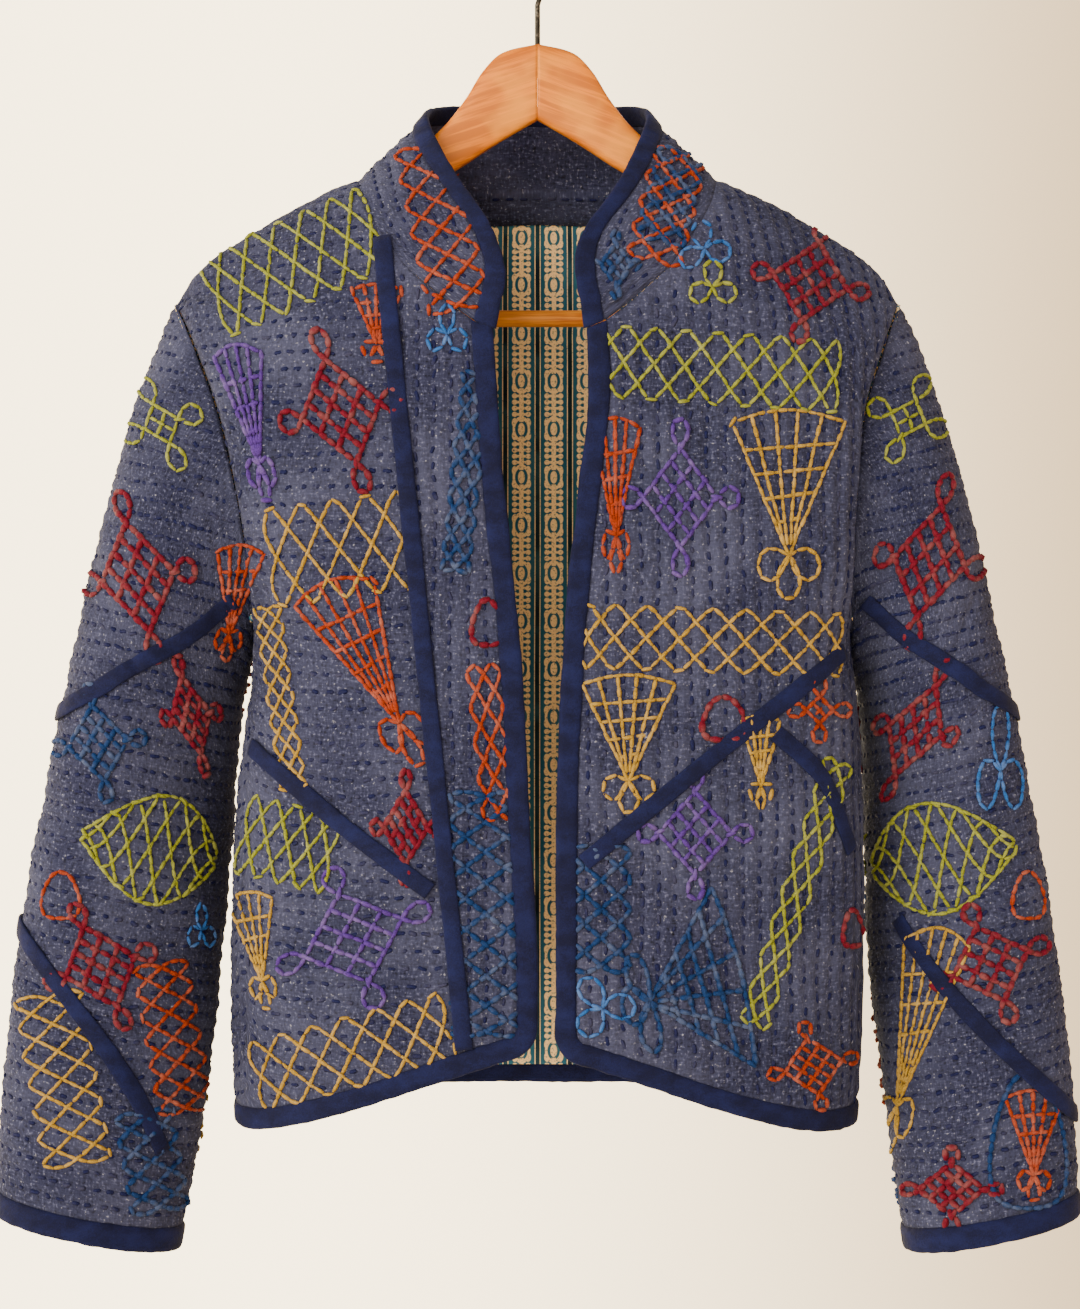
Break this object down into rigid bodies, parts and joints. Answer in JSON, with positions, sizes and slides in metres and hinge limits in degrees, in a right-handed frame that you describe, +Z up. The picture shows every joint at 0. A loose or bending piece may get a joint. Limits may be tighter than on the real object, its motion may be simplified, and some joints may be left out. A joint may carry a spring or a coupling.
{
  "type": "quilted jacket on a clothes hanger",
  "caption": "Open-front quilted kantha jacket with a stand collar, navy bias binding and applied strips, filled out on a wooden hanger with a trouser bar and wire hook.",
  "frame": {"origin": "inner top of the hanger's hook, where a rail carries it", "axes": "+Z up, -Y towards the front of the jacket, +X to the wearer's left"},
  "size_m": [0.7122, 0.1902, 0.8757],
  "materials": {
    "quilted_cloth": "slubbed cotton with running stitch",
    "printed_lining": "block-printed cotton",
    "navy_binding": "plain cotton",
    "hanger_wood": "clear lacquer",
    "hook_wire": "dark satin"
  },
  "bodies": {
    "root": {"back": "quilted_cloth", "front_right": "quilted_cloth", "front_band": "quilted_cloth", "front_left": "quilted_cloth", "sleeve_right": "quilted_cloth", "sleeve_left": "quilted_cloth", "collar": "quilted_cloth", "neck_facing": "quilted_cloth", "back_lining": "printed_lining", "front_binding_right": "navy_binding", "front_binding_left": "navy_binding", "back_hem_binding": "navy_binding", "collar_binding": "navy_binding", "cuff_binding_right": "navy_binding", "cuff_binding_left": "navy_binding", "band_strip_right": "navy_binding", "diagonal_strip_right": "navy_binding", "diagonal_strip_left": "navy_binding", "side_strip_left": "navy_binding", "upper_sleeve_strip_right": "navy_binding", "lower_sleeve_strip_right": "navy_binding", "upper_sleeve_strip_left": "navy_binding", "lower_sleeve_strip_left": "navy_binding", "hanger_arm_right": "hanger_wood", "hanger_arm_left": "hanger_wood", "hanger_bar": "hanger_wood", "hanger_hook": "hook_wire"}
  },
  "joints": []
}
